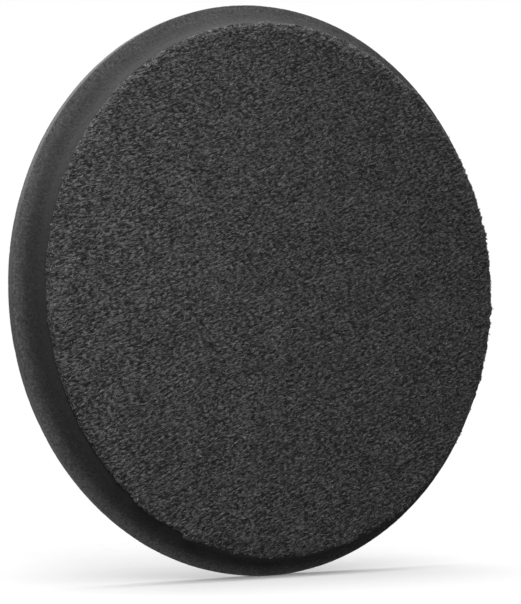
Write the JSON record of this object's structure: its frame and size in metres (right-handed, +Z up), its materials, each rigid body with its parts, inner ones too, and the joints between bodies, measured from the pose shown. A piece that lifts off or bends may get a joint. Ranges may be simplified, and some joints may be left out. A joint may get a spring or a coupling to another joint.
{
  "type": "polishing pad",
  "caption": "Flat round foam polishing pad with a flared, hollow-sided rim, a flat foam working face and a smaller knitted loop backing that presses onto a hook-faced backing plate.",
  "frame": {"origin": "centre of the loop backing's outer face, where the pad meets the machine's backing plate", "axes": "+Y along the pad's axis, from the loop face through the foam to the working face; +Z up with the pad standing on its rim; +X completes the right-handed frame"},
  "size_m": [0.1524, 0.0112, 0.1524],
  "materials": {
    "foam": "matte fine-celled open polyurethane foam",
    "adhesive": "thin hot-melt film, satin",
    "loop_fabric": "brushed warp-knit loop pile, matte with a soft sheen"
  },
  "bodies": {
    "root": {"foam_pad": "foam", "adhesive_film": "adhesive", "loop_backing": "loop_fabric"}
  },
  "joints": []
}
